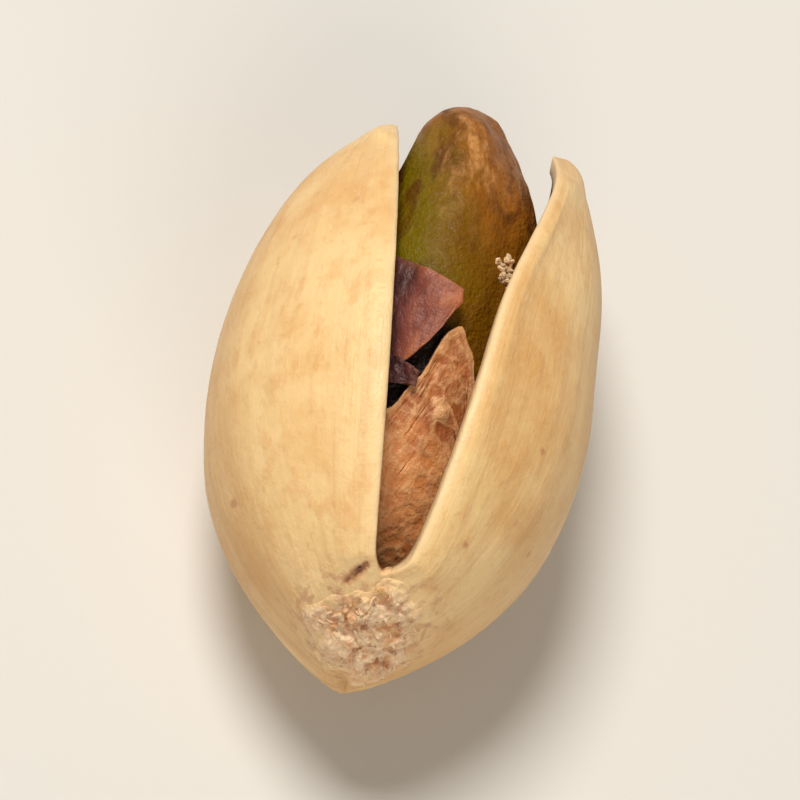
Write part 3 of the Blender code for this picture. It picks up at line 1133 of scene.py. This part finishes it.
def coat_height(tree, given):
    """Veins and wrinkles of the papery seed coat, and one small lump near its torn edge."""
    place = position(tree)
    veins = product(tree, vein_share(tree, place, VEIN_SCALE), given["Veins"])
    wrinkles = around_zero(tree, noise(tree, place, 800.0, 4.0, 0.65, 0.4), given["Wrinkles"])
    lump = product(tree, spot_share(tree, place, BUMP_PLACE, BUMP_RADIUS), given["Wrinkles"])
    keep = ramp(tree, named(tree, "torn"), 0.5, 1.0, 1.0, 0.4)
    return total(tree, product(tree, total(tree, veins, wrinkles), keep), lump)


def scrap_folds(tree, grain):
    """Folds of the scrap, which run parallel to its free edge."""
    return noise(tree, scaled(tree, grain, (7.0, 1.3, 1.0)), 1.0, 3.0, 0.5, 0.4)


def scrap_height(tree, given):
    """Folds and small crumples of the scrap."""
    folds = around_zero(tree, scrap_folds(tree, named(tree, "grain", "FLOAT_VECTOR")), given["Folds"])
    crumples = noise(tree, position(tree), 1500.0, 3.0)
    return total(tree, folds, around_zero(tree, crumples, product(tree, given["Folds"], 0.4)))


# Materials


def new_material(name):
    """A material, its tree, and the place of a point in the nut."""
    material = bpy.data.materials.new(name)
    material.use_nodes = True
    tree = material.node_tree
    return material, tree, add_node(tree, "ShaderNodeTexCoord").outputs["Object"]


def with_surface(material, colour, roughness, height, depth, specular=0.5):
    """Gives a material its colour, its roughness and its finest relief, which is depth deep."""
    tree = material.node_tree
    shader = tree.nodes["Principled BSDF"]
    tree.links.new(colour, shader.inputs["Base Color"])
    if isinstance(roughness, float):
        shader.inputs["Roughness"].default_value = roughness
    else:
        tree.links.new(roughness, shader.inputs["Roughness"])
    shader.inputs["Specular IOR Level"].default_value = specular
    bump = add_node(tree, "ShaderNodeBump", {"Strength": 1.0, "Distance": depth, "Height": height})
    tree.links.new(bump.outputs["Normal"], shader.inputs["Normal"])
    return material


def kept(tree, name, output="Fac"):
    """A value kept on the points of a mesh, read in a material."""
    return add_node(tree, "ShaderNodeAttribute", attribute_name=name).outputs[output]


def mixed(tree, share, first, second):
    """Goes from the first colour to the second as share goes from 0 to 1."""
    pair = [value if isinstance(value, bpy.types.NodeSocket) else (*value, 1.0) for value in (first, second)]
    inputs = {0: share, 6: pair[0], 7: pair[1]}
    return add_node(tree, "ShaderNodeMix", inputs, data_type="RGBA").outputs[2]


def tinted(tree, colour, tint, *shares):
    """Goes from a colour to a tint by the product of the shares."""
    return mixed(tree, product(tree, *shares), colour, tint)


def shell_skin(tree, look, place):
    """The shell's cream with tan patches and orange mottling, and the mottling's share."""
    patches = ramp(tree, noise(tree, place, 210.0, 4.0, 0.55), 0.40, 0.68)
    mottle = ramp(tree, noise(tree, scaled(tree, place, (1.0, 0.6, 1.0)), 1500.0, 4.0, 0.6), 0.44, 0.70)
    clusters = ramp(tree, noise(tree, place, 330.0, 2.0), 0.35, 0.65, 0.14, 0.42)
    grains = noise(tree, place, 3000.0, 3.0, 0.6)
    colour = tinted(tree, look.cream, look.tan, patches)
    colour = tinted(tree, colour, look.freckle, mottle, clusters)
    colour = tinted(tree, colour, look.streak, ramp(tree, grains, 0.55, 0.72, 0.0, 0.22))
    return tinted(tree, colour, look.rim, ramp(tree, grains, 0.28, 0.42, 0.25, 0.0)), mottle


def speckled_near_scar(tree, look, place, colour):
    """Adds the reddish speckles and the paler skin round the stem scar."""
    scar = tuple(SCAR_MIDDLE + REST_MOVE)
    near_scar = ramp(tree, distance_from(tree, place, scar), 0.0019, 0.0036, 1.0, 0.0)
    speckle = ramp(tree, noise(tree, place, 2300.0, 4.0, 0.65), 0.46, 0.64)
    colour = tinted(tree, colour, look.spot, near_scar, speckle, 0.75)
    return tinted(tree, colour, look.rim, near_scar, 0.30)


def streaked(tree, look, grain, colour):
    """Adds the streaks along the grain, painted shade on the flanks, a darker right tip, and lines near the
    stem end.
    """
    across, _, along = parted(tree, grain)
    broad = ramp(tree, noise(tree, scaled(tree, grain, (4.2, 4.2, 2.4)), 1.0, 5.0, 0.6), 0.47, 0.72)
    thin = noise(tree, scaled(tree, grain, (22.0, 22.0, 5.0)), 1.0, 4.0, 0.6)
    # Painted shade: the flanks, where the shell turns down towards the floor, are darkened
    shaded_flanks = ramp(tree, maths(tree, "ABSOLUTE", across), 0.78, 1.0, 0.0, 0.40)
    low = ramp(tree, along, 0.08, 0.36, 1.0, 0.0)
    lines = ramp(tree, noise(tree, scaled(tree, grain, (11.0, 11.0, 3.0)), 1.0, 4.0, 0.6), 0.50, 0.72)
    colour = tinted(tree, colour, look.streak, broad, 0.45)
    colour = tinted(tree, colour, look.streak, ramp(tree, thin, 0.55, 0.80, 0.0, 0.25))
    colour = tinted(tree, colour, look.rim, ramp(tree, thin, 0.24, 0.42, 0.30, 0.0))
    colour = tinted(tree, colour, look.streak, shaded_flanks)
    right_tip = product(tree, ramp(tree, along, 0.78, 0.96), ramp(tree, across, 0.0, 0.2))
    colour = tinted(tree, colour, look.streak, right_tip, 0.45)
    return tinted(tree, colour, look.streak, low, lines, 0.7), thin


def spotted(tree, look, place, colour):
    """Adds small random spots, the few that the nut is known by, a painted highlight, and the crack beside
    the split.
    """
    spots = ramp(tree, cells(tree, place, 1050.0), 0.07, 0.20, 1.0, 0.0)
    clusters = ramp(tree, noise(tree, place, 420.0, 2.0), 0.56, 0.66)
    colour = tinted(tree, colour, look.spot, spots, clusters, 0.35)
    for spot, radius in RED_SPOTS:
        colour = tinted(tree, colour, look.spot, spot_share(tree, place, spot, radius), 0.5)
    # Painted highlight: a pale spot on the right valve
    colour = tinted(tree, colour, look.rim, spot_share(tree, place, *PAINTED_HIGHLIGHT_SPOT), 0.6)
    colour = speckled_near_scar(tree, look, place, colour)
    colour = tinted(tree, colour, look.spot, crack_share(tree, place, CRACK_BORDER), 0.6)
    # Darkest along the middle of the crack
    return tinted(tree, colour, look.crack_core, crack_share(tree, place, CRACK_WIDTH))


def shell_material(look):
    """Dry woody shell, cream and streaked outside, with pale broken rims that are partly a painted highlight,
    and a brown lining.
    """
    material, tree, place = new_material("shell")
    colour, mottle = shell_skin(tree, look, place)
    colour, thin = streaked(tree, look, kept(tree, "grain", "Vector"), colour)
    colour = spotted(tree, look, place, colour)
    blotches = ramp(tree, noise(tree, place, 520.0, 4.0, 0.6), 0.35, 0.65)
    lining = tinted(tree, look.lining, look.lining_dark, blotches)
    # Pale broken rims: partly the edge's own paler colour, partly a painted highlight along it
    colour = tinted(tree, colour, look.rim, ramp(tree, kept(tree, "edge"), 0.35, 0.95, 0.0, 0.75))
    colour = tinted(tree, colour, lining, ramp(tree, kept(tree, "outside"), 0.15, 0.60, 1.0, 0.0))
    pits = noise(tree, place, 3600.0, 4.0, 0.6)
    height = total(tree, product(tree, thin, 0.45), product(tree, mottle, 0.25), product(tree, pits, 0.45))
    return with_surface(material, colour, ramp(tree, thin, 0.3, 0.7, 0.42, 0.56), height, 0.00007)


def scar_material(look, shell_look):
    """Torn stem scar: pinkish, with pale torn ridges that are partly a painted highlight and brown crevices
    that are partly painted shade, fading into the shell.
    """
    material, tree, place = new_material("stem_scar")
    patches = noise(tree, place, 1100.0, 4.0, 0.6)
    fine = noise(tree, place, 3200.0, 4.0, 0.65)
    pale_ridge_and_highlight = product(tree, scar_ridges(tree, place), ramp(tree, fine, 0.30, 0.55, 0.4, 1.0))
    crevice_brown_and_shade = scar_crevices(tree, place)
    dark = scaled(tree, place, (1.0, 1.0, 0.7), (0.003, 0.001, 0.002))
    dark = ramp(tree, noise(tree, dark, 2300.0, 4.0, 0.65), 0.55, 0.64)
    colour = tinted(tree, look.pink, shell_look.tan, ramp(tree, fine, 0.38, 0.62))
    colour = tinted(tree, colour, look.pale, ramp(tree, patches, 0.42, 0.60, 0.0, 0.8))
    # Pale ridges: partly whitish torn fibre, partly a painted highlight
    colour = tinted(tree, colour, look.pale, ramp(tree, pale_ridge_and_highlight, 0.15, 0.95))
    uneven = ramp(tree, patches, 0.35, 0.55, 1.0, 0.5)
    # Brown crevices: partly the scar's own colour, partly painted shade
    colour = tinted(tree, colour, look.crevice, crevice_brown_and_shade, uneven, 0.45)
    colour = tinted(tree, colour, look.crevice, dark, 0.6)
    border = total(tree, kept(tree, "rim"), around_zero(tree, patches, 0.9))
    skin = speckled_near_scar(tree, shell_look, place, shell_skin(tree, shell_look, place)[0])
    colour = tinted(tree, colour, skin, ramp(tree, border, 0.62, 1.0))
    grit = noise(tree, place, 6500.0, 4.0, 0.65)
    height = total(tree, product(tree, fine, 0.8), product(tree, grit, 0.4))
    return with_surface(material, colour, 0.55, height, 0.00012)


def fibre_material(look):
    """Loose fibres of the scar: pale, with a little of its pink."""
    material, tree, place = new_material("scar_fibre")
    patches = noise(tree, place, 1300.0, 4.0, 0.6)
    colour = tinted(tree, look.pale, look.pink, ramp(tree, patches, 0.45, 0.7, 0.0, 0.7))
    dark = ramp(tree, noise(tree, place, 2600.0), 0.62, 0.8, 0.0, 0.4)
    colour = tinted(tree, colour, look.crevice, dark)
    return with_surface(material, colour, 0.6, noise(tree, place, 9000.0), 0.00004)


def kernel_material(look):
    """Oily kernel: olive green, golden brown towards the tip, with pinkish remains of skin and painted glints
    on its crest, painted shade on its sides, and painted shade in the crevice below the coat's scrap.
    """
    material, tree, place = new_material("kernel")
    across, _, along = parted(tree, kept(tree, "grain", "Vector"))
    from_ridge = maths(tree, "ABSOLUTE", total(tree, across, -0.04))
    patches = noise(tree, place, 330.0, 4.0, 0.6)
    fine = noise(tree, place, 2400.0, 4.0, 0.6)
    greener = total(tree, product(tree, across, -0.9), around_zero(tree, patches, 1.6))
    colour = tinted(tree, look.olive, look.green, ramp(tree, greener, -0.35, 0.45))
    browned = total(tree, along, around_zero(tree, patches, 0.5), product(tree, across, 0.10))
    colour = tinted(tree, colour, look.gold, ramp(tree, browned, 0.60, 0.80))
    dark = scaled(tree, place, (1.0, 0.55, 1.0), (0.004, 0.0, 0.001))
    dark = ramp(tree, noise(tree, dark, 900.0, 4.0, 0.6, 0.6), 0.46, 0.62)
    browner = ramp(tree, along, 0.50, 0.72, 0.15, 0.9)
    # Painted shade: the roast patches grow darker away from the crest, on the kernel's sides
    side_shade_share = ramp(tree, from_ridge, 0.05, 0.45, 0.35, 1.0)
    colour = tinted(tree, colour, look.brown, dark, browner, side_shade_share)
    raised = total(tree, product(tree, kept(tree, "height"), 0.5), around_zero(tree, fine, 1.2))
    streaks = ramp(tree, noise(tree, scaled(tree, place, (1.0, 0.35, 1.0)), 1500.0, 4.0, 0.65), 0.44, 0.68)
    # Painted highlight: the pinkish streaks show most on the crest and on raised places, partly remains of
    # skin, partly glints
    ridge_glint_share = ramp(tree, from_ridge, 0.05, 0.50, 1.0, 0.25)
    remains = product(tree, streaks, ramp(tree, along, 0.58, 0.76), ridge_glint_share)
    speckle = noise(tree, scaled(tree, place, (1.0, 0.5, 1.0)), 3600.0, 3.0, 0.6)
    speckle = ramp(tree, speckle, 0.36, 0.58, 0.35, 1.0)
    colour = tinted(tree, colour, look.glint, remains, speckle, ramp(tree, raised, -0.8, 0.4))
    colour = tinted(tree, colour, look.brown, ramp(tree, fine, 0.5, 0.75, 0.0, 0.35))
    # Painted shade: a dark band along the coat's torn edge on the left, in the crevice below the scrap
    left = ramp(tree, across, 0.02, 0.14, 1.0, 0.0)
    colour = tinted(tree, colour, look.shade, left, ramp(tree, along, 0.49, 0.53, 1.0, 0.0))
    height = total(tree, product(tree, fine, 0.7), product(tree, noise(tree, place, 7000.0, 2.0), 0.4))
    roughness = ramp(tree, fine, 0.3, 0.7, 0.36, 0.58)
    return with_surface(material, colour, roughness, height, 0.00016, specular=0.20)


def crumb_material(look):
    """Pale dry crumbs."""
    material, tree, place = new_material("crumb")
    patches = noise(tree, place, 4000.0, 3.0, 0.6)
    colour = tinted(tree, look.crumb, look.gold, ramp(tree, patches, 0.40, 0.70))
    return with_surface(material, colour, 0.7, noise(tree, place, 9000.0), 0.00004)


def coat_material(look):
    """Papery seed coat: pinkish tan-brown with pale veins and glints on its wrinkles."""
    material, tree, place = new_material("seed_coat")
    along = parted(tree, kept(tree, "grain", "Vector"))[2]
    patches = noise(tree, scaled(tree, place, (1.0, 0.7, 1.0)), 700.0, 4.0, 0.6)
    near_tear = ramp(tree, along, 0.30, 0.44, -0.12, 0.16)
    near_stem = ramp(tree, along, 0.10, 0.22, 0.20, 0.0)
    darker = total(tree, patches, total(tree, near_tear, near_stem))
    colour = tinted(tree, look.skin, look.skin_dark, ramp(tree, darker, 0.42, 0.66))
    fine = noise(tree, scaled(tree, place, (1.0, 0.6, 1.0)), 2600.0, 4.0, 0.65)
    veins = vein_share(tree, place, VEIN_SCALE)
    colour = tinted(tree, colour, look.vein, veins, ramp(tree, fine, 0.35, 0.60, 0.10, 0.40))
    # Painted highlight: raised wrinkles are lightened towards the vein colour
    colour = tinted(tree, colour, look.vein, ramp(tree, kept(tree, "height"), 0.0, 0.8, 0.0, 0.6))
    colour = tinted(tree, colour, look.skin_dark, ramp(tree, fine, 0.52, 0.72, 0.0, 0.6))
    colour = tinted(tree, colour, look.vein, ramp(tree, kept(tree, "torn"), 0.4, 1.0, 0.0, 0.4))
    height = total(tree, fine, product(tree, noise(tree, place, 6000.0, 3.0, 0.6), 0.3))
    return with_surface(material, colour, ramp(tree, fine, 0.3, 0.7, 0.36, 0.55), height, 0.00011)


def scrap_material(look):
    """Torn scrap of seed coat: purple-brown, with painted shade under the valve and on the smaller scrap,
    painted light and shade on its folds, and a pinkish torn edge that is partly a painted highlight.
    """
    material, tree, place = new_material("seed_coat_scrap")
    grain = kept(tree, "grain", "Vector")
    across, _, smaller = parted(tree, grain)
    # Painted shade and highlight: darker towards the valve, lighter and pinker towards the free corner and on
    # the folds
    folds = around_zero(tree, scrap_folds(tree, grain), 1.5)
    depth = total(tree, product(tree, across, 1.15), folds, -0.52)
    fine = noise(tree, place, 2800.0, 4.0, 0.65)
    colour = tinted(tree, look.purple_dark, look.purple, ramp(tree, depth, 0.05, 0.50))
    colour = tinted(tree, colour, look.edge, ramp(tree, depth, 0.45, 0.85, 0.0, 0.85))
    colour = tinted(tree, colour, look.purple_dark, ramp(tree, fine, 0.48, 0.75, 0.0, 0.5))
    # The pinkish torn edge towards the free corner is partly a painted highlight
    colour = tinted(tree, colour, look.edge, kept(tree, "torn"), across, across, 0.7)
    # Painted shade: the smaller scrap in the crevice is darkened
    colour = tinted(tree, colour, look.purple_dark, smaller, 0.8)
    roughness = ramp(tree, fine, 0.3, 0.7, 0.36, 0.52)
    return with_surface(material, colour, roughness, fine, 0.00009, specular=0.35)


def floor_material(look):
    """The floor's even pale finish."""
    material = bpy.data.materials.new("floor")
    material.use_nodes = True
    shader = material.node_tree.nodes["Principled BSDF"]
    shader.inputs["Base Color"].default_value = (*look.floor, 1.0)
    shader.inputs["Roughness"].default_value = 0.8
    return material


# Operators


class PISTACHIO_OT_shell(bpy.types.Operator):
    """Builds the shell with its two valves, rims and lining"""

    bl_idname = "pistachio.shell"
    bl_label = "Shell"

    def execute(self, context):
        look = context.scene.pistachio_shell
        made = make_shell_object()
        depths = {
            "Swells": look.swell_depth,
            "Ribs": look.rib_depth,
            "Streaks": look.streak_depth,
            "Wrinkles": look.wrinkle_depth,
        }
        dress(made, "Shell relief", shell_height, depths, shell_material(look))
        finish_piece(plain_mesh(made), "shell")
        return {"FINISHED"}


class PISTACHIO_OT_stem_scar(bpy.types.Operator):
    """Builds the torn patch on the stem scar and its fibres"""

    bl_idname = "pistachio.stem_scar"
    bl_label = "Stem scar"

    def execute(self, context):
        look = context.scene.pistachio_scar
        made = make_scar_object(look.size)
        torn = scar_material(look, context.scene.pistachio_shell)
        dress(made, "Scar relief", scar_height, {"Crinkles": look.crinkle_depth}, torn)
        fibres = copy_of(plain_mesh(made), "scar_fibres")
        values = {
            "Density": look.fibre_count / (math.pi * look.size**2 * SCAR_TALL),
            "Length": look.size * FIBRE_LENGTH,
            "Thickness": look.size * FIBRE_THICKNESS,
            "Seed": 7,
            "Material": fibre_material(look),
        }
        run_tree(fibres, fibre_tree(), values)
        for piece in (made, plain_mesh(fibres)):
            finish_piece(piece, "shell")
        return {"FINISHED"}


class PISTACHIO_OT_kernel(bpy.types.Operator):
    """Builds the kernel and the crumbs caught on it"""

    bl_idname = "pistachio.kernel"
    bl_label = "Kernel"

    def execute(self, context):
        look = context.scene.pistachio_kernel
        made = make_kernel_object()
        depths = {
            "Folds": look.fold_depth,
            "Facets": look.facet_depth,
            "Dents": look.dent_depth,
            "Pores": look.pore_depth,
        }
        dress(made, "Kernel relief", kernel_height, depths, kernel_material(look))
        finish_piece(plain_mesh(made), "kernel")
        crumbs = copy_of(made, "kernel_crumbs")
        values = {
            "Spread": CRUMB_SPREAD,
            "Density": look.crumb_count / (2 * math.pi * CRUMB_SPREAD**2),
            "Size": look.crumb_size,
            "Seed": 4,
            "Material": crumb_material(look),
        }
        run_tree(crumbs, crumb_tree(), values)
        finish_piece(plain_mesh(crumbs), "kernel")
        return {"FINISHED"}


class PISTACHIO_OT_seed_coat(bpy.types.Operator):
    """Builds the seed coat round the kernel and its torn scrap"""

    bl_idname = "pistachio.seed_coat"
    bl_label = "Seed coat"

    def execute(self, context):
        look = context.scene.pistachio_coat
        wrap = make_wrap_object()
        depths = {"Veins": look.vein_height, "Wrinkles": look.wrinkle_depth}
        dress(wrap, "Seed coat relief", coat_height, depths, coat_material(look))
        scrap = make_scrap_object()
        dress(scrap, "Scrap relief", scrap_height, {"Folds": look.fold_depth}, scrap_material(look))
        for sheet, slot, node in ((wrap, "seed_coat", "skin_wrap"), (scrap, "seed_coat_scrap", "skin_scrap")):
            wall = sheet.modifiers.new("thickness", "SOLIDIFY")
            wall.thickness = SHEET_THICKNESS
            wall.offset = 1.0
            finish_piece(plain_mesh(sheet), node)
        return {"FINISHED"}


class PISTACHIO_OT_stage(bpy.types.Operator):
    """Builds the floor, the lights and the camera"""

    bl_idname = "pistachio.stage"
    bl_label = "Stage"

    def execute(self, context):
        look = context.scene.pistachio_stage
        self.add_floor(look)
        self.add_lights(context, look)
        self.add_camera(context, look)
        context.scene.view_settings.view_transform = "Standard"
        return {"FINISHED"}

    @staticmethod
    def add_floor(look):
        """The plain floor."""
        corners = [(x * FLOOR_REACH, y * FLOOR_REACH, 0.0) for x, y in ((-1, -1), (1, -1), (1, 1), (-1, 1))]
        floor = new_object("floor", corners, [(0, 1, 2, 3)])
        floor.data.materials.append(floor_material(look))
        floor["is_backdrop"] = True

    @staticmethod
    def add_lights(context, look):
        """A main light from the tip's side, a soft one from the stem's side, and a pale sky."""
        lights = [
            ("key", KEY_PLACE, KEY_WIDTH, look.key_power, KEY_COLOUR),
            ("fill", SOFT_PLACE, SOFT_WIDTH, look.fill_power, SOFT_COLOUR),
        ]
        for name, place, width, power, colour in lights:
            light = bpy.data.lights.new(name, "AREA")
            light.shape = "DISK"
            light.size = width
            light.energy = power
            light.color = colour
            made = bpy.data.objects.new(name, light)
            made.location = place
            made.rotation_mode = "QUATERNION"
            made.rotation_quaternion = Vector(place).to_track_quat("Z", "Y")
            context.scene.collection.objects.link(made)
        world = bpy.data.worlds.new("studio")
        world.use_nodes = True
        background = world.node_tree.nodes["Background"]
        background.inputs["Color"].default_value = (*SOFT_COLOUR, 1.0)
        background.inputs["Strength"].default_value = look.sky_strength
        context.scene.world = world

    @staticmethod
    def add_camera(context, look):
        """The camera, aimed at the middle of the nut and turned so that the nut leans as it should."""
        low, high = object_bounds()
        middle = (low + high) / 2
        level = math.cos(look.elevation)
        back = Vector(
            (math.sin(look.azimuth) * level, -math.cos(look.azimuth) * level, math.sin(look.elevation))
        )
        upright = (-back).to_track_quat("-Z", "Y")
        right = upright @ Vector((1.0, 0.0, 0.0))
        up = upright @ Vector((0.0, 1.0, 0.0))
        nut_lean = math.atan2(right.y, up.y)
        camera = bpy.data.cameras.new("camera")
        camera.lens = look.lens
        camera.sensor_width = SENSOR_WIDTH
        camera.clip_start = look.distance / 10
        made = bpy.data.objects.new("camera", camera)
        made.rotation_mode = "QUATERNION"
        made.rotation_quaternion = Quaternion(back, look.lean - nut_lean) @ upright
        made.location = middle + back * look.distance
        context.scene.collection.objects.link(made)
        context.scene.camera = made


class PISTACHIO_PT_panel(bpy.types.Panel):
    """Lists the pieces of the nut"""

    bl_idname = "PISTACHIO_PT_panel"
    bl_label = "Pistachio"
    bl_space_type = "VIEW_3D"
    bl_region_type = "UI"
    bl_category = "Pistachio"

    def draw(self, context):
        for group, operator in zip(LOOKS, OPERATORS):
            box = self.layout.box()
            box.operator(operator.bl_idname, text=operator.bl_label)
            look = getattr(context.scene, group)
            for name in look.bl_rna.properties.keys():
                if name not in ("rna_type", "name"):
                    box.prop(look, name)


LOOKS = {
    "pistachio_shell": ShellLook,
    "pistachio_scar": ScarLook,
    "pistachio_kernel": KernelLook,
    "pistachio_coat": CoatLook,
    "pistachio_stage": StageLook,
}
OPERATORS = [
    PISTACHIO_OT_shell,
    PISTACHIO_OT_stem_scar,
    PISTACHIO_OT_kernel,
    PISTACHIO_OT_seed_coat,
    PISTACHIO_OT_stage,
]
CLASSES = [*LOOKS.values(), *OPERATORS, PISTACHIO_PT_panel]


def register():
    """Registers the classes, and gives every scene its looks."""
    for made in CLASSES:
        bpy.utils.register_class(made)
    for name, look in LOOKS.items():
        setattr(bpy.types.Scene, name, PointerProperty(type=look))


def unregister():
    """Takes the looks and the classes away again."""
    for name in LOOKS:
        delattr(bpy.types.Scene, name)
    for made in reversed(CLASSES):
        bpy.utils.unregister_class(made)


def main():
    """Builds every piece and the stage."""
    register()
    bpy.ops.pistachio.shell()
    bpy.ops.pistachio.stem_scar()
    bpy.ops.pistachio.kernel()
    bpy.ops.pistachio.seed_coat()
    bpy.ops.pistachio.stage()


if __name__ == "__main__":
    main()
